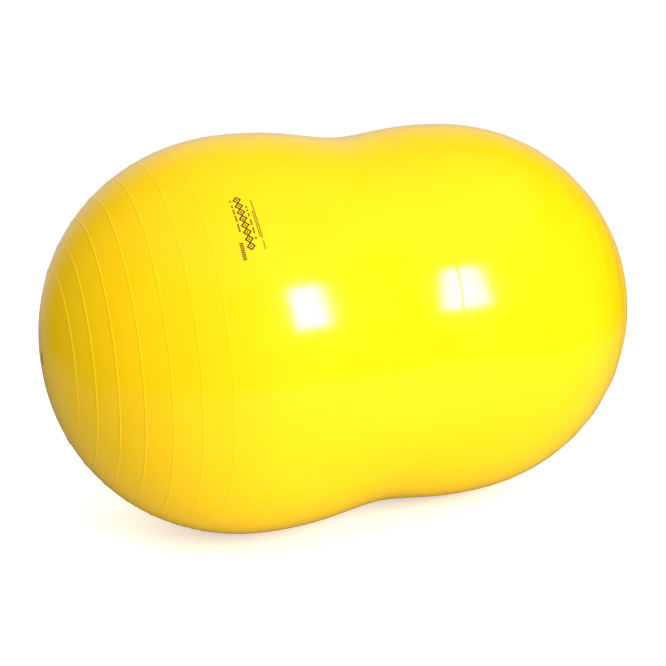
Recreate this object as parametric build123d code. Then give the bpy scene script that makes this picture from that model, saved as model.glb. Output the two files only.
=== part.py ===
from build123d import *

import os
from math import cos, hypot, radians, sin, tan

# Inflated two-lobed exercise roll (a "peanut" ball): a thin moulded PVC shell, a soft valve
# seat bonded into the shell's -X pole, and the plug that closes it. Millimetres, +Z up.
# X is the long axis. The origin is on the floor, midway between the lobes.

# Shell outline, as a radius about the long axis
lobe_radius = 275.0
lobe_offset = 150.0         # from the middle of the waist to where each end cap starts
cap_length = 280.0          # from there to the pole
cap_power = 2.06            # 2 is an ellipse, more is fuller
waist_depth = 13.0          # how much smaller the waist's radius is than the lobes'
waist_reach = 124.0         # from the middle of the waist to where a lobe is full size
flank_angle = 8.0           # slope of the waist's sides, in degrees
waist_bend_share = 0.42     # the bend in the waist, as a share of the two bends' radii
cap_points = 9              # points that carry the cap's curve from its start to the pole
wall = 1.1

# Where the ball's own weight presses it flat on the floor
floor_flat_half_width = 30.0

# Moulded ribs round the long axis
rib_width = 1.6             # at its root
rib_crown_width = 0.6
rib_height = 0.45
rib_root = 0.2              # how far the root is sunk in the wall
rib_count = 7               # on each end cap
rib_first_angle = 21.6      # round the end cap from its start, in degrees
rib_step_angle = 7.4
waist_rib_offset = 47.5     # one rib on each side of the waist

# Filling valve, on the long axis at the -X pole
plug_shank_radius = 4.0
plug_head_radius = 6.6
plug_head_thickness = 1.5
plug_length = 15.0          # under the head
plug_tip_chamfer = 1.2
plug_tip_reach = 1.0        # how far the tip comes out of the seat's neck
plug_pull_radius = 3.2      # dimple in the head, where a fingertip or a tool lifts it
plug_pull_depth = 0.6
plug_bore_clearance = 0.05  # radial, shank in the seat
plug_head_clearance = 0.35  # radial, head in its recess
plug_head_below_face = 0.3
seat_collar_wall = 2.4      # round the head's recess
seat_face_below_pole = 0.3
seat_flange_overlap = 4.0   # how far the flange reaches past the collar
seat_flange_thickness = 1.6
seat_neck_wall = 2.2
seat_bond_gap = 0.05        # radial, adhesive between the collar and the shell
boss_thickness = 2.6        # flat pad moulded inside the shell, which the flange is bonded to
boss_margin = 2.5           # how far the pad reaches past the flange

# Worked out from the values above
pole = lobe_offset + cap_length
waist_radius = lobe_radius - waist_depth
flank = radians(flank_angle)
both_bends_radius = (waist_reach - waist_depth / tan(flank)) / tan(flank / 2)
waist_bend_radius = both_bends_radius * waist_bend_share
shoulder_bend_radius = both_bends_radius - waist_bend_radius
waist_apex = waist_radius - waist_bend_radius * (1 / cos(flank) - 1)    # where the flanks would meet
floor_drop = (lobe_radius**2 - floor_flat_half_width**2) ** 0.5
head_recess_radius = plug_head_radius + plug_head_clearance
collar_radius = head_recess_radius + seat_collar_wall
flange_radius = collar_radius + seat_flange_overlap
bore_radius = plug_shank_radius + plug_bore_clearance
neck_radius = bore_radius + seat_neck_wall
boss_radius = flange_radius + boss_margin
seat_face = -pole + seat_face_below_pole
head_face = seat_face + plug_head_below_face
head_seat = head_face + plug_head_thickness
boss_face = -pole + boss_thickness
shank_end = head_seat + plug_length
neck_end = shank_end - plug_tip_reach


def cap_radius(along, radius, length):
    """Radius of an end cap at a distance along it from its start."""
    return radius * (1 - (along / length) ** cap_power) ** (1 / cap_power)


def half_outline(inset):
    """Outline from the waist to the +X pole, inset from the outer surface."""
    radius = lobe_radius - inset
    length = cap_length - inset
    waist_bend = waist_bend_radius + inset
    shoulder_bend = shoulder_bend_radius - inset
    start = Vector(0, waist_radius - inset)
    waist_end = start + Vector(waist_bend * sin(flank), waist_bend * (1 - cos(flank)))
    shoulder_end = Vector(waist_reach, radius)
    flank_end = shoulder_end - Vector(shoulder_bend * sin(flank), shoulder_bend * (1 - cos(flank)))
    cap_start = Vector(lobe_offset, radius)
    cap = []
    for index in range(cap_points):
        turn = radians(90) * index / (cap_points - 1)
        along = length * sin(turn)
        cap.append(Vector(lobe_offset + along, cap_radius(along, radius, length)))
    return [
        TangentArc(start, waist_end, tangent=(1, 0)),
        Line(waist_end, flank_end),
        TangentArc(flank_end, shoulder_end, tangent=(cos(flank), sin(flank))),
        Line(shoulder_end, cap_start),
        Spline(*cap, tangents=[(1, 0), (0, -1)]),
    ]


def lobed_face(inset):
    """Half section of the whole roll above the long axis."""
    half = half_outline(inset)
    axis_half = Line((pole - inset, 0), (0, 0))
    middle = Line((0, 0), (0, waist_radius - inset))
    right = make_face([*half, axis_half, middle])
    return right + mirror(right, about=Plane.YZ)


def rib_section(along_x, radius, slope):
    """Section of one rib, on the outline at along_x, whose tangent is (1, slope)."""
    along = Vector(1, slope) / hypot(1, slope)
    outward = Vector(-slope, 1) / hypot(1, slope)
    root = Vector(along_x, radius) - outward * rib_root
    crown = Vector(along_x, radius) + outward * rib_height
    return make_face(
        Polyline(
            root - along * (rib_width / 2),
            crown - along * (rib_crown_width / 2),
            crown + along * (rib_crown_width / 2),
            root + along * (rib_width / 2),
            close=True,
        )
    )


def all_ribs():
    """Sections of the ribs on one half: one beside the waist, the rest on the end cap."""
    sections = [rib_section(waist_rib_offset, waist_apex + waist_rib_offset * tan(flank), tan(flank))]
    for index in range(rib_count):
        share = sin(radians(rib_first_angle + rib_step_angle * index))
        radius = cap_radius(share * cap_length, lobe_radius, cap_length)
        slope = -(lobe_radius / cap_length) * (share * lobe_radius / radius) ** (cap_power - 1)
        sections.append(rib_section(lobe_offset + share * cap_length, radius, slope))
    return sections


def above(height):
    """Everything in the ball's space above a height over the floor."""
    size = 3 * pole
    return Pos(0, 0, height + size / 2) * Box(size, size, size)


def axle_cylinder(radius, start, end):
    """Cylinder on the long axis, from one X to another."""
    return Pos(start, 0, 0) * Rot(0, 90, 0) * Cylinder(
        radius, end - start, align=(Align.CENTER, Align.CENTER, Align.MIN)
    )


def at_floor_height(shape):
    """Lift a shape built about the X axis so that the floor flats are at Z = 0."""
    return Pos(0, 0, floor_drop) * shape


def ball_shell():
    outside = lobed_face(0)
    for section in all_ribs():
        outside += section
        outside += mirror(section, about=Plane.YZ)
    skin = at_floor_height(revolve(outside, Axis.X)) & above(0)
    cavity = at_floor_height(revolve(lobed_face(wall), Axis.X)) & above(wall)
    boss = at_floor_height(axle_cylinder(boss_radius, -pole, boss_face))
    opening = at_floor_height(axle_cylinder(collar_radius + seat_bond_gap, -pole - 1, boss_face + 1))
    return skin - (cavity - boss) - opening


def valve_seat():
    collar = axle_cylinder(collar_radius, seat_face, boss_face)
    flange = axle_cylinder(flange_radius, boss_face, boss_face + seat_flange_thickness)
    neck = axle_cylinder(neck_radius, boss_face + seat_flange_thickness, neck_end)
    recess = axle_cylinder(head_recess_radius, seat_face - 1, head_seat)
    bore = axle_cylinder(bore_radius, head_seat - 1, neck_end + 1)
    return at_floor_height(collar + flange + neck - recess - bore)


def valve_plug():
    head = axle_cylinder(plug_head_radius, head_face, head_seat)
    shank = axle_cylinder(plug_shank_radius, head_seat, shank_end)
    tip = shank.edges().sort_by(Axis.X)[-1]
    shank = chamfer(tip, plug_tip_chamfer)
    dimple = axle_cylinder(plug_pull_radius, head_face - 1, head_face + plug_pull_depth)
    return at_floor_height(head + shank - dimple)


os.makedirs("parts", exist_ok=True)
for name, shape in (
    ("ball_shell", ball_shell()),
    ("valve_seat", valve_seat()),
    ("valve_plug", valve_plug()),
):
    export_step(shape, f"parts/{name}.step")
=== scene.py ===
from math import cos, pi, radians, sin, tan

import bpy
import numpy as np
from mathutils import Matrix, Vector, noise


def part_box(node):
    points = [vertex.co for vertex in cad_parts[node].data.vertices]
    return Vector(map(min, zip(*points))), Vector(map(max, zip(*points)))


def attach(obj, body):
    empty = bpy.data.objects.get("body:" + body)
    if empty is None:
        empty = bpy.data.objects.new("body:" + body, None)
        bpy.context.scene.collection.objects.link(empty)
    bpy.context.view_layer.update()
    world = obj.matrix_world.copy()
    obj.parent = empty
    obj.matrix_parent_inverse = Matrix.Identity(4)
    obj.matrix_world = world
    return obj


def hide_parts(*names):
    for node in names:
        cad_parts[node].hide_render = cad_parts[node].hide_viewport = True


# An inflated two-lobed exercise roll of glossy yellow PVC, with its filling valve in the -X pole.
# Lengths are in metres. X is the long axis and the floor is at Z = 0.

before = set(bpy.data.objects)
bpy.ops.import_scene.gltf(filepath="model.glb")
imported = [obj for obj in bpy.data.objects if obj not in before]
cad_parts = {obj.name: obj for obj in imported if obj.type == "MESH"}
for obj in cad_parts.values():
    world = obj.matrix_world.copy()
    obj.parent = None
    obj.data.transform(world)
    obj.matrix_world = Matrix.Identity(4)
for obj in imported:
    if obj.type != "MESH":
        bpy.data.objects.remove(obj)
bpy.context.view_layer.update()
MM = 0.001

# ---------------------------------------------------------------------------------------- sizes
shell_low, shell_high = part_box("ball_shell")
seat_low, seat_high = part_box("valve_seat")
plug_low, plug_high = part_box("valve_plug")

# Skin, as a radius about the long axis
lobe_radius = (shell_high.y - shell_low.y) / 2
pole = shell_high.x
axis_height = (plug_low.z + plug_high.z) / 2
lobe_offset = 150 * MM
cap_length = pole - lobe_offset
cap_power = 2.06
waist_depth = 13 * MM
waist_reach = 124 * MM
flank_angle = radians(8)
waist_bend_share = 0.42
wall = 1.1 * MM
evening_length = 90 * MM

# Moulded ribs round the long axis, higher towards the ends
rib_width = 3.0 * MM
waist_rib_height = 0.15 * MM
inner_rib_height = 0.32 * MM
end_rib_height = 0.66 * MM
rib_count = 7
rib_first_angle = radians(21.6)
rib_step_angle = radians(7.4)
waist_rib_offset = 47.5 * MM

# Unevenness of the skin, which fades out at the poles
broad_wave_height = 0.18 * MM
broad_wave_scale = 6.0
broad_wave_shift = Vector((3.1, 7.7, 1.9))
narrow_wave_height = 0.035 * MM
narrow_wave_scale = 21.0
narrow_wave_shift = Vector((11.3, 2.2, 5.5))
wave_fade_radius = 40 * MM

# Filling valve
collar_radius = 9.35 * MM
head_recess_radius = 6.95 * MM
bore_radius = 4.05 * MM
neck_radius = 6.25 * MM
flange_radius = (seat_high.y - seat_low.y) / 2
flange_thickness = 1.6 * MM
opening_radius = collar_radius + 0.05 * MM
lip_radius = 0.5 * MM
lip_clearance = 1 * MM
boss_radius = flange_radius + 2.5 * MM
boss_face = -pole + 2.6 * MM
boss_root = boss_face - 1 * MM
boss_edge_radius = 0.3 * MM
plug_head_radius = (plug_high.y - plug_low.y) / 2
plug_head_thickness = 1.5 * MM
plug_shank_radius = 4.0 * MM
plug_tip_chamfer = 1.2 * MM
plug_pull_radius = 3.2 * MM
plug_pull_depth = 0.6 * MM
plug_ring_radius = 5.0 * MM
plug_ring_depth = 0.15 * MM
plug_ring_half_width = 0.25 * MM
head_face = plug_low.x
head_seat = head_face + plug_head_thickness
bore_middle = head_seat + 1 * MM

# How finely outlines and meshes are worked out
bend_points = 80
cap_points = 2000
even_points = 4001
pole_points = 400
rib_points = 9
fillet_steps = 5
tangent_step = 0.1 * MM
axis_tolerance = 0.001 * MM
station_pitch = 8 * MM
inner_pitch = 22 * MM
segments_round_skin = 192
segments_round_valve = 96


# ------------------------------------------------------------------------------------- outlines
def arc(centre, radius, start, end, count):
    """Points (x, r) on an arc from one angle to another."""
    turns = np.linspace(start, end, count)
    return np.column_stack((centre[0] + radius * np.cos(turns), centre[1] + radius * np.sin(turns)))


def rounded(corners, radii):
    """A polyline through the corners. Each but the first and the last is rounded to its radius."""
    points = [corners[0]]
    for before, corner, after, radius in zip(corners, corners[1:], corners[2:], radii):
        incoming = (Vector(before) - Vector(corner)).normalized()
        outgoing = (Vector(after) - Vector(corner)).normalized()
        half_turn = incoming.angle(outgoing) / 2
        reach = radius / tan(half_turn)
        centre = Vector(corner) + (incoming + outgoing).normalized() * (radius / sin(half_turn))
        first = (Vector(corner) + incoming * reach - centre).normalized()
        last = (Vector(corner) + outgoing * reach - centre).normalized()
        for step in range(fillet_steps + 1):
            points.append(tuple(centre + first.slerp(last, step / fillet_steps) * radius))
    points.append(corners[-1])
    return np.array(points)


def lengths_along(line):
    """Distance along a line at each of its points."""
    return np.concatenate(([0], np.cumsum(np.hypot(*np.diff(line, axis=0).T))))


def at_lengths(line, along, places):
    """The point (x, r), or the points, at one or more distances along a line."""
    return np.stack([np.interp(places, along, line[:, k]) for k in (0, 1)], axis=-1)


def skin_outline(inset=0.0):
    """The skin from the +X pole over both lobes to the -X pole, inset from the outer surface."""
    radius = lobe_radius - inset
    both_bends = (waist_reach - waist_depth / tan(flank_angle)) / tan(flank_angle / 2)
    waist_bend = both_bends * waist_bend_share + inset
    shoulder_bend = both_bends * (1 - waist_bend_share) - inset
    up = pi / 2
    waist_middle = (0, radius - waist_depth + waist_bend)
    waist = arc(waist_middle, waist_bend, -up, flank_angle - up, bend_points)
    shoulder_middle = (waist_reach, radius - shoulder_bend)
    shoulder = arc(shoulder_middle, shoulder_bend, up + flank_angle, up, bend_points)
    share = np.sin(np.linspace(0, up, cap_points))
    cap_radius = radius * (1 - share**cap_power) ** (1 / cap_power)
    cap = np.column_stack((lobe_offset + (cap_length - inset) * share, cap_radius))
    half = np.vstack((waist, shoulder, cap))
    return evened(np.vstack((half[::-1], half[1:] * (-1, 1))))


def evened(line):
    """The same outline with its changes of curvature spread out along it."""
    along = lengths_along(line)
    even = np.linspace(0, along[-1], even_points)
    step = even[1]
    line = at_lengths(line, along, even)
    way = np.unwrap(np.arctan2(*np.gradient(line, step, axis=0).T[::-1]))
    reach = round(evening_length / step / 2)
    window = np.hanning(2 * reach + 1)
    before = 2 * way[0] - way[reach:0:-1]
    after = 2 * way[-1] - way[-2 : -reach - 2 : -1]
    way = np.convolve(np.concatenate((before, way, after)), window / window.sum(), "valid")
    moved = np.column_stack((np.cos(way), np.sin(way))) * step
    path = np.vstack(((0, 0), np.cumsum((moved[1:] + moved[:-1]) / 2, axis=0))) + line[0]
    path += (line[-1] - path[-1]) * np.linspace(0, 1, len(path))[:, None]
    path[:, 1] = np.maximum(path[:, 1], 0)
    return path


def rib_places():
    """X of every rib, from the +X end to the -X end."""
    cap = [lobe_offset + cap_length * sin(rib_first_angle + rib_step_angle * k) for k in range(rib_count)]
    half = sorted([waist_rib_offset, *cap], reverse=True)
    return half + [-x for x in reversed(half)]


class Skin:
    """The outer surface, by distance along its outline from the +X pole and angle about the axis."""

    def __init__(self):
        self.line = skin_outline()
        self.along = lengths_along(self.line)
        self.length = self.along[-1]
        self.ribs = np.array([self.at_x(x) for x in rib_places()])
        cap_heights = np.linspace(inner_rib_height, end_rib_height, rib_count)
        outwards = np.concatenate(([waist_rib_height], cap_heights))
        self.rises = np.concatenate((outwards[::-1], outwards))

    def at_x(self, x):
        """Distance along the outline at which it reaches an X."""
        return float(np.interp(-x, -self.line[:, 0], self.along))

    def at_end_radius(self, radius):
        """Distance along the outline at which it comes down to a radius at the -X pole."""
        tail = slice(-1, -pole_points, -1)
        return float(np.interp(radius, self.line[tail, 1], self.along[tail]))

    def depth(self, x, radius):
        """How far inside the outline a radius is at an X, and 0 outside it."""
        return max(0.0, float(np.interp(-x, -self.line[:, 0], self.line[:, 1])) - radius)

    def on_line(self, along):
        return at_lengths(self.line, self.along, along)

    def outline(self, along, lift=0.0):
        """(x, r) of the surface with its ribs, lifted off it by a distance."""
        ahead, behind = self.on_line(along + tangent_step), self.on_line(along - tangent_step)
        way = (ahead - behind) / np.hypot(*(ahead - behind))
        nearest = np.abs(along - self.ribs).argmin()
        offset = min(abs(along - self.ribs[nearest]), rib_width / 2)
        rise = self.rises[nearest] * cos(pi * offset / rib_width) ** 2
        return self.on_line(along) + np.array((way[1], -way[0])) * (rise + lift)

    def stations(self, pitch):
        """Distances along the outline: a pitch apart, and close together across each rib."""
        even = np.linspace(0, self.length, round(self.length / pitch))
        clear = np.abs(even[:, None] - self.ribs).min(axis=1) > 2 * rib_width
        across_rib = np.array([-1.0, *np.linspace(-0.5, 0.5, rib_points), 1.0]) * rib_width
        return np.sort(np.concatenate((even[clear], (self.ribs[:, None] + across_rib).ravel())))


skin = Skin()


# --------------------------------------------------------------------------------------- meshes
def waviness(point):
    """How far the skin stands off its ideal surface."""
    broad = noise.noise(point * broad_wave_scale + broad_wave_shift)
    narrow = noise.noise(point * narrow_wave_scale + narrow_wave_shift)
    return broad_wave_height * broad + narrow_wave_height * narrow


def on_skin(x, radius, angle, waves=True):
    """A point at an angle about the long axis, from the front towards the top, pressed flat on the floor.

    A point inside the skin stays as far above the floor as it is deep.
    """
    outward = Vector((0, -cos(angle), sin(angle)))
    point = Vector((x, 0, axis_height)) + outward * radius
    if waves:
        point += outward * waviness(point) * min(1.0, radius / wave_fade_radius)
    point.z = max(point.z, skin.depth(x, radius))
    return point


def around_axis(x, radius, angle):
    """The same without the skin's unevenness."""
    return on_skin(x, radius, angle, waves=False)


def mesh_object(name, points, faces):
    mesh = bpy.data.meshes.new(name)
    mesh.from_pydata([tuple(p) for p in points], [], faces)
    mesh.validate()
    mesh.shade_smooth()
    piece = bpy.data.objects.new(name, mesh)
    bpy.context.scene.collection.objects.link(piece)
    return piece


def lathe(name, profile, segments, place, closed=False):
    """A solid turned about the long axis from (x, r) points, whose outside is passed from +X to -X.

    A point on the axis becomes one vertex.
    """
    points, rings, faces = [], [], []
    for x, radius in profile:
        count = 1 if radius < axis_tolerance else segments
        rings.append(range(len(points), len(points) + count))
        points += [place(x, radius, 2 * pi * k / segments) for k in range(count)]
    pairs = list(zip(rings, rings[1:]))
    if closed:
        pairs.append((rings[-1], rings[0]))
    for one, two in pairs:
        for k in range(segments):
            after = (k + 1) % segments
            corners = (one[k % len(one)], one[after % len(one)], two[after % len(two)], two[k % len(two)])
            faces.append(tuple(dict.fromkeys(corners)))
    return mesh_object(name, points, faces)


# ---------------------------------------------------------------------------------------- shell
def shell_profile():
    """Outer skin from the +X pole, over the lip of the valve opening, and back along the cavity."""
    lip_start = skin.at_end_radius(opening_radius + lip_radius)
    stations = skin.stations(station_pitch)
    outer = np.array([skin.outline(along) for along in stations[stations < lip_start - lip_clearance]])
    lip_x = skin.outline(lip_start)[0]
    opening = rounded(
        [
            tuple(outer[-1]),
            (lip_x, opening_radius),
            (boss_face, opening_radius),
            (boss_face, boss_radius),
            (boss_root, boss_radius),
        ],
        [lip_radius, boss_edge_radius, boss_edge_radius],
    )
    inner = skin_outline(wall)[::-1]
    inner = inner[inner[:, 0] > boss_root]
    along = lengths_along(inner)
    even = np.linspace(0, along[-1], round(along[-1] / inner_pitch))
    cavity = at_lengths(inner, along, even)
    return np.vstack((outer, opening[1:], cavity[1:]))


def make_shell():
    shell = lathe("skin", shell_profile(), segments_round_skin, on_skin)
    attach(shell, "ball")
    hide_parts("ball_shell")
    shell.data.materials.append(glossy_pvc())


# ---------------------------------------------------------------------------------------- valve
def make_seat():
    """Soft seat bonded into the opening: collar with a recess for the head, flange inside, and neck."""
    flange_end = boss_face + flange_thickness
    corners = [
        (head_seat, bore_radius),
        (head_seat, head_recess_radius),
        (seat_low.x, head_recess_radius),
        (seat_low.x, collar_radius),
        (boss_face, collar_radius),
        (boss_face, flange_radius),
        (flange_end, flange_radius),
        (flange_end, neck_radius),
        (seat_high.x, neck_radius),
        (seat_high.x, bore_radius),
        (bore_middle, bore_radius),
    ]
    radii = [0.2 * MM, 0.4 * MM, 0.5 * MM, 0.05 * MM, 0.3 * MM, 0.3 * MM, 0.8 * MM, 0.5 * MM, 0.4 * MM]
    profile = rounded(corners, radii)[::-1]
    seat = lathe("valve_seat_ring", profile, segments_round_valve, around_axis, closed=True)
    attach(seat, "ball")
    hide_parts("valve_seat")
    # The seat's yellow is darker than the skin's: painted shade for the recess that it sits in. Its satin
    # finish is only roughness.
    material = satin_plastic("seat_pvc", colour=(0.60, 0.34, 0.007), roughness=0.38, mottle=0.05)
    seat.data.materials.append(material)


def make_plug():
    """Plug that closes the valve: a head with a dimple and a mould ring, and a plain shank."""
    corners = [
        (head_face + plug_pull_depth, 0.0),
        (head_face + plug_pull_depth, plug_pull_radius),
        (head_face, plug_pull_radius),
        (head_face, plug_ring_radius - plug_ring_half_width),
        (head_face + plug_ring_depth, plug_ring_radius),
        (head_face, plug_ring_radius + plug_ring_half_width),
        (head_face, plug_head_radius),
        (head_seat, plug_head_radius),
        (head_seat, plug_shank_radius),
        (plug_high.x - plug_tip_chamfer, plug_shank_radius),
        (plug_high.x, plug_shank_radius - plug_tip_chamfer),
        (plug_high.x, 0.0),
    ]
    radii = [0.3 * MM, 0.2 * MM, 0.05 * MM, 0.05 * MM, 0.05 * MM, 0.5 * MM]
    radii += [0.3 * MM, 0.2 * MM, 0.4 * MM, 0.4 * MM]
    plug = lathe("plug", rounded(corners, radii)[::-1], segments_round_valve, around_axis)
    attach(plug, "plug")
    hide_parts("valve_plug")
    material = satin_plastic("plug_plastic", colour=(0.40, 0.30, 0.045), roughness=0.42, mottle=0.08)
    plug.data.materials.append(material)


# ---------------------------------------------------------------------------------------- print
# Plain marks in place of the maker's print. Across is X, and up is the arc from the ball's front.
ink_sunk = 0.10 * MM
ink_proud = 0.08 * MM
ring_corners = 16

band_across = -210.5 * MM
band_low = 187 * MM
band_high = 265 * MM
diamond_count = 8
diamond_fill = 0.46             # half a diamond's height, as a share of the pitch
diamond_half_width = 4.2 * MM
diamond_line = 2.4 * MM
dot_radius = 0.6 * MM
dot_line = 1.1 * MM


def on_print(across, up, lift):
    x, radius = skin.outline(skin.at_x(across), lift)
    return on_skin(x, radius, up / lobe_radius)


class Ink:
    """Strokes of ink, each a thin closed ribbon that follows the skin."""

    def __init__(self):
        self.points, self.faces = [], []

    def stroke(self, path, width, closed=False):
        path = np.array(path, float)
        if closed:
            ahead, behind = np.roll(path, -1, axis=0), np.roll(path, 1, axis=0)
        else:
            ahead, behind = np.vstack((path[1:], path[-1])), np.vstack((path[0], path[:-1]))
        way = ahead - behind
        way /= np.hypot(*way.T)[:, None]
        side = np.column_stack((-way[:, 1], way[:, 0])) * width / 2
        base = len(self.points)
        for point, half in zip(path, side):
            for edge, lift in ((-1, -ink_sunk), (-1, ink_proud), (1, ink_proud), (1, -ink_sunk)):
                self.points.append(on_print(*(point + edge * half), lift))
        count = len(path)
        for k in range(count if closed else count - 1):
            one, two = base + 4 * k, base + 4 * ((k + 1) % count)
            for c in range(4):
                d = (c + 1) % 4
                self.faces.append((one + c, two + c, two + d, one + d))
        if not closed:
            last = base + 4 * (count - 1)
            self.faces += [(base, base + 1, base + 2, base + 3), (last + 3, last + 2, last + 1, last)]

    def ring(self, centre, radius, width):
        turns = np.linspace(0, 2 * pi, ring_corners, endpoint=False)
        circle = np.column_stack((np.cos(turns), np.sin(turns))) * radius
        self.stroke(np.array(centre) + circle, width, closed=True)

    def ticks(self, across, spans, height, width, pitch):
        """A row of short strokes across a line that runs up the skin, over its spans in millimetres."""
        for low, high in spans:
            for up in np.arange(low * MM + pitch / 2, high * MM, pitch):
                self.stroke([(across - height / 2, up), (across + height / 2, up)], width)

    def diamond(self, centre, half_across, half_up, width):
        x, up = centre
        corners = [(x - half_across, up), (x, up + half_up), (x + half_across, up), (x, up - half_up)]
        self.stroke(corners, width, closed=True)

    def piece(self, name, material):
        marks = mesh_object(name, self.points, self.faces)
        marks.data.shade_flat()
        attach(marks, "ball")
        marks.data.materials.append(material)


def make_print():
    ink = printing_ink()
    pitch = (band_high - band_low) / diamond_count
    band = Ink()
    for k in range(diamond_count):
        centre = (band_across, band_low + pitch * (k + 0.5))
        band.diamond(centre, diamond_half_width, diamond_fill * pitch, diamond_line)
        band.ring(centre, dot_radius, dot_line)
    band.piece("print_diamonds", ink)

    left = Ink()
    left_spans = ((213, 226), (228, 237), (239, 247), (249, 254), (258.5, 261.5))
    left.ticks(-218.4 * MM, left_spans, height=2.2 * MM, width=1.1 * MM, pitch=1.6 * MM)
    left.piece("print_ticks_left", ink)

    block = Ink()
    block.ticks(-220.8 * MM, [(175, 199)], height=4.6 * MM, width=1.5 * MM, pitch=2.4 * MM)
    block.piece("print_ticks_low", ink)

    right = Ink()
    right_spans = ((200, 203), (208, 217), (219.5, 228), (232, 237), (240, 243), (245, 248))
    right.ticks(-202.8 * MM, right_spans, height=2.2 * MM, width=1.2 * MM, pitch=1.7 * MM)
    right.piece("print_ticks_right", ink)

    fine = Ink()
    fine_sizes = {"height": 1.5 * MM, "width": 0.8 * MM, "pitch": 1.3 * MM}
    fine.ticks(-195.3 * MM, [(185, 197), (200, 256)], **fine_sizes)
    fine.ticks(-197.6 * MM, [(202, 240)], **fine_sizes)
    fine.piece("print_ticks_fine", ink)


# ------------------------------------------------------------------------------------ materials
plastic_ior = 1.5


class Nodes:
    """Short calls for building a material's or a world's node tree."""

    def __init__(self, owner):
        owner.use_nodes = True
        self.tree = owner.node_tree
        self.tree.nodes.clear()

    def add(self, kind, settings=None, **inputs):
        node = self.tree.nodes.new(kind)
        for key, value in (settings or {}).items():
            setattr(node, key, value)
        for key, value in inputs.items():
            self.set(node, key, value)
        return node

    def set(self, node, key, value):
        """Link a socket to an input, or give the input a value. A key of digits is the input's number."""
        socket = node.inputs[int(key)] if key.isdigit() else node.inputs[key]
        if isinstance(value, bpy.types.NodeSocket):
            self.tree.links.new(value, socket)
        else:
            socket.default_value = value

    def noise(self, scale, detail=2.0, roughness=0.5):
        place = self.add("ShaderNodeTexCoord").outputs["Object"]
        node = self.add("ShaderNodeTexNoise", Vector=place, Scale=scale, Detail=detail, Roughness=roughness)
        return node.outputs["Fac"]

    def between(self, factor, low, high):
        """A number that goes from low to high as the noise goes over its middle range."""
        return self.span(factor, (0.3, 0.7), (low, high))

    def span(self, value, source, target, smooth=False):
        """A value mapped from one range to another."""
        node = self.add("ShaderNodeMapRange", Value=value)
        node.interpolation_type = "SMOOTHSTEP" if smooth else "LINEAR"
        for key, number in zip(("From Min", "From Max", "To Min", "To Max"), (*source, *target)):
            node.inputs[key].default_value = number
        return node.outputs["Result"]

    def maths(self, operation, *values):
        node = self.add("ShaderNodeMath", {"operation": operation})
        for key, value in zip("01", values):
            self.set(node, key, value)
        return node.outputs["Value"]

    def mix(self, factor, one, two):
        """One number or the other, by a factor."""
        node = self.add("ShaderNodeMix", {"data_type": "FLOAT"})
        for key, value in zip("023", (factor, one, two)):
            self.set(node, key, value)
        return node.outputs["Result"]

    def mix_colour(self, factor, one, two):
        node = self.add("ShaderNodeMix", {"data_type": "RGBA"})
        self.tree.links.new(factor, node.inputs["Factor"])
        for key, value in (("A", one), ("B", two)):
            socket = [s for s in node.inputs if s.name == key and s.type == "RGBA"][0]
            socket.default_value = (*value, 1.0)
        return [s for s in node.outputs if s.type == "RGBA"][0]

    def bump(self, height, depth, under=None):
        """A bump of a depth, on top of another one where there is one."""
        node = self.add("ShaderNodeBump", Height=height, Strength=1.0, Distance=depth)
        if under is not None:
            self.set(node, "Normal", under)
        return node.outputs["Normal"]


def glossy_pvc():
    """Stretched PVC: deep yellow with a faint mottle, a fine orange peel and uneven polish."""
    material = bpy.data.materials.new("glossy_pvc")
    nodes = Nodes(material)
    mottle = nodes.between(nodes.noise(7.0, detail=4.0, roughness=0.6), 0.0, 1.0)
    peel = nodes.bump(nodes.noise(420.0), depth=0.012 * MM)
    ripple = nodes.bump(nodes.noise(45.0), depth=0.03 * MM, under=peel)
    shader = nodes.add("ShaderNodeBsdfPrincipled", IOR=plastic_ior)
    nodes.set(shader, "Base Color", nodes.mix_colour(mottle, (0.92, 0.575, 0.002), (0.95, 0.610, 0.003)))
    nodes.set(shader, "Roughness", nodes.between(nodes.noise(14.0, detail=3.0), 0.115, 0.16))
    nodes.set(shader, "Normal", ripple)
    nodes.add("ShaderNodeOutputMaterial", Surface=shader.outputs["BSDF"])
    return material


def satin_plastic(name, colour, roughness, mottle):
    """Moulded plastic: a fine grain, and a colour that varies by a share of itself, the mottle."""
    material = bpy.data.materials.new(name)
    nodes = Nodes(material)
    darker = tuple(c * (1 - mottle) for c in colour)
    lighter = tuple(c * (1 + mottle) for c in colour)
    shader = nodes.add("ShaderNodeBsdfPrincipled", IOR=plastic_ior)
    patches = nodes.between(nodes.noise(260.0, detail=3.0), 0.0, 1.0)
    nodes.set(shader, "Base Color", nodes.mix_colour(patches, darker, lighter))
    polish = nodes.between(nodes.noise(600.0), roughness - 0.05, roughness + 0.07)
    nodes.set(shader, "Roughness", polish)
    nodes.set(shader, "Normal", nodes.bump(nodes.noise(2200.0), depth=0.02 * MM))
    nodes.add("ShaderNodeOutputMaterial", Surface=shader.outputs["BSDF"])
    return material


def printing_ink():
    """Screen-printed ink, thinner in places so that it isn't one even tone."""
    material = bpy.data.materials.new("printing_ink")
    nodes = Nodes(material)
    shader = nodes.add("ShaderNodeBsdfPrincipled", IOR=plastic_ior)
    thin = nodes.between(nodes.noise(900.0, detail=3.0, roughness=0.6), 0.0, 1.0)
    nodes.set(shader, "Base Color", nodes.mix_colour(thin, (0.022, 0.015, 0.002), (0.065, 0.045, 0.003)))
    nodes.set(shader, "Roughness", nodes.between(nodes.noise(500.0), 0.30, 0.42))
    nodes.add("ShaderNodeOutputMaterial", Surface=shader.outputs["BSDF"])
    return material


# --------------------------------------------------------------------------------------- studio
ball_centre = Vector((0, 0, axis_height))
camera_azimuth = radians(-24.27)
camera_elevation = radians(16.84)
camera_distance = 1.5015
aim_offset = Vector((-0.0166, 0.0015, -0.0167))
lens = 55.68
sensor = 36.0

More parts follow.
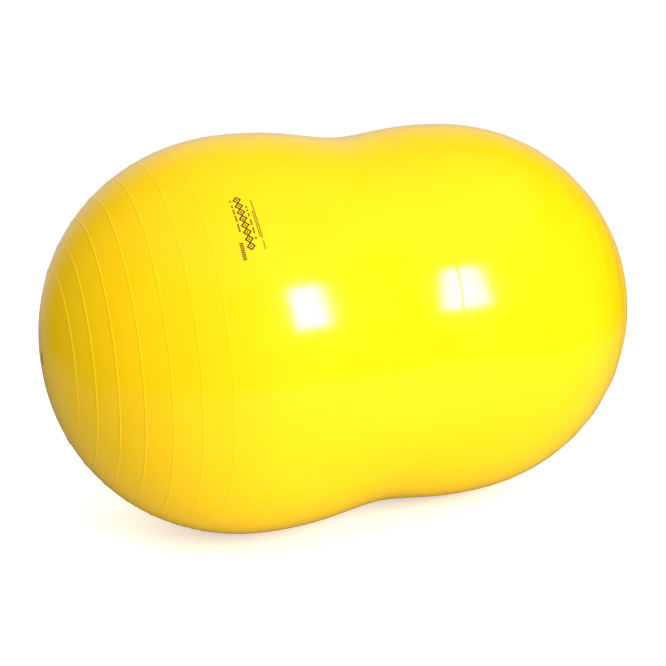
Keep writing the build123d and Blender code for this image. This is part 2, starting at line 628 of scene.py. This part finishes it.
softbox_offset = Vector((0.418, -1.985, 1.030))
softbox_width = 0.475
softbox_height = 0.82
softbox_power = 33.0

# Floor, whose tone differs for what the camera sees, what lights the ball and what its gloss mirrors
floor_radius = 2.0
floor_rim_points = 96
floor_fade = (0.9, 1.9)         # distances from the middle over which it fades out
floor_tone_seen = 0.85
floor_tone_mirrored = 0.17
floor_glow = (0.45, 0.45, 0.45, 1.0)
bounce_reach = (0.25, 0.75)     # distances beside the middle over which its bounce gets weaker
bounce_tones = (1.0, 0.42)

# Soft light on the ball, by the direction it comes from
light_front = 0.64
light_back = 0.75
light_level = 0.29
light_top = 0.94

# The room that the gloss mirrors: light overhead, and a glow behind
overhead_front = 0.30
overhead_back = 0.10
glow_azimuth = radians(163)
glow_edge = 0.005
glow_middle = 0.50
backdrop = 1.0


def towards(azimuth, elevation):
    """Unit vector from the ball; azimuth 0 is -Y and 90 degrees is +X."""
    level = cos(elevation)
    return Vector((sin(azimuth) * level, -cos(azimuth) * level, sin(elevation)))


def facing(place, target):
    return (target - place).to_track_quat("-Z", "Y").to_euler()


def add_to_scene(name, data, place, target):
    item = bpy.data.objects.new(name, data)
    item.location = place
    item.rotation_euler = facing(place, target)
    bpy.context.scene.collection.objects.link(item)
    return item


def make_camera():
    data = bpy.data.cameras.new("camera")
    data.lens = lens
    data.sensor_width = sensor
    place = ball_centre + towards(camera_azimuth, camera_elevation) * camera_distance
    bpy.context.scene.camera = add_to_scene("camera", data, place, ball_centre + aim_offset)


def make_softbox():
    data = bpy.data.lights.new("key_softbox", "AREA")
    data.shape = "RECTANGLE"
    data.size = softbox_width
    data.size_y = softbox_height
    data.energy = softbox_power
    softbox = add_to_scene("key_softbox", data, ball_centre + softbox_offset, ball_centre)
    softbox.visible_camera = False


def make_floor():
    """A pale disc that fades out into the white surroundings, and throws less light up beside the ball."""
    turns = np.linspace(0, 2 * pi, floor_rim_points, endpoint=False)
    rim = [(floor_radius * cos(t), floor_radius * sin(t), 0) for t in turns]
    floor = mesh_object("floor", rim, [tuple(range(len(rim)))])
    material = bpy.data.materials.new("floor")
    nodes = Nodes(material)
    place = nodes.add("ShaderNodeTexCoord").outputs["Object"]
    distance = nodes.add("ShaderNodeVectorMath", {"operation": "LENGTH"}, Vector=place).outputs["Value"]
    fade = nodes.span(distance, floor_fade, (0.0, 1.0), smooth=True)
    ray = nodes.add("ShaderNodeLightPath").outputs
    beside = nodes.maths("ABSOLUTE", nodes.add("ShaderNodeSeparateXYZ", Vector=place).outputs["X"])
    bounce = nodes.span(beside, bounce_reach, bounce_tones, smooth=True)
    lit_tone = nodes.mix(ray["Is Camera Ray"], bounce, floor_tone_seen)
    tone = nodes.mix(ray["Is Glossy Ray"], lit_tone, floor_tone_mirrored)
    paper = nodes.add("ShaderNodeBsdfDiffuse", Color=tone)
    glow = nodes.add("ShaderNodeEmission", Strength=ray["Is Camera Ray"], Color=floor_glow)
    lit = nodes.add("ShaderNodeAddShader")
    nodes.set(lit, "0", paper.outputs["BSDF"])
    nodes.set(lit, "1", glow.outputs["Emission"])
    clear = nodes.add("ShaderNodeBsdfTransparent")
    mix = nodes.add("ShaderNodeMixShader")
    nodes.set(mix, "0", fade)
    nodes.set(mix, "1", lit.outputs["Shader"])
    nodes.set(mix, "2", clear.outputs["BSDF"])
    nodes.add("ShaderNodeOutputMaterial", Surface=mix.outputs["Shader"])
    floor.data.materials.append(material)


def mirrored_room(nodes, way, parts):
    """Brightness of the dim room that the gloss mirrors, by direction."""
    overhead_amount = nodes.span(parts["Y"], (-0.5, 0.6), (overhead_front, overhead_back), smooth=True)
    height_amount = nodes.span(parts["Z"], (0.60, 0.82), (0.0, 1.0), smooth=True)
    overhead = nodes.maths("MULTIPLY", height_amount, overhead_amount)
    along_glow = nodes.add("ShaderNodeVectorMath", {"operation": "DOT_PRODUCT"}, Vector=way)
    along_glow.inputs[1].default_value = towards(glow_azimuth, 0.0)
    behind = nodes.span(along_glow.outputs["Value"], (0.60, 1.0), (glow_edge, glow_middle), smooth=True)
    return nodes.maths("ADD", overhead, behind)


def soft_light(nodes, parts):
    """Brightness of the light from all round, by direction."""
    front = nodes.span(parts["Y"], (-1.0, 0.0), (light_front, 0.0))
    back = nodes.span(parts["Y"], (0.0, 1.0), (0.0, light_back))
    top = nodes.span(parts["Z"], (0.0, 1.0), (light_level, light_top))
    return nodes.maths("ADD", nodes.maths("ADD", front, back), top)


def make_surroundings():
    """White behind everything, soft light from all round, and a dim room for the gloss to mirror."""
    world = bpy.data.worlds.new("studio")
    bpy.context.scene.world = world
    nodes = Nodes(world)
    ray = nodes.add("ShaderNodeLightPath").outputs
    way = nodes.add("ShaderNodeTexCoord").outputs["Generated"]
    parts = nodes.add("ShaderNodeSeparateXYZ", Vector=way).outputs
    room = mirrored_room(nodes, way, parts)
    soft = soft_light(nodes, parts)
    seen = nodes.mix(ray["Is Camera Ray"], nodes.mix(ray["Is Glossy Ray"], soft, room), backdrop)
    background = nodes.add("ShaderNodeBackground", Color=(1, 1, 1, 1), Strength=seen)
    nodes.add("ShaderNodeOutputWorld", Surface=background.outputs["Background"])
    world.cycles.sampling_method = "NONE"


def make_studio():
    bpy.context.scene.view_settings.view_transform = "Standard"
    make_camera()
    make_floor()
    make_surroundings()
    make_softbox()


# ----------------------------------------------------------------------------------------- make
make_shell()
make_seat()
make_plug()
make_print()
make_studio()
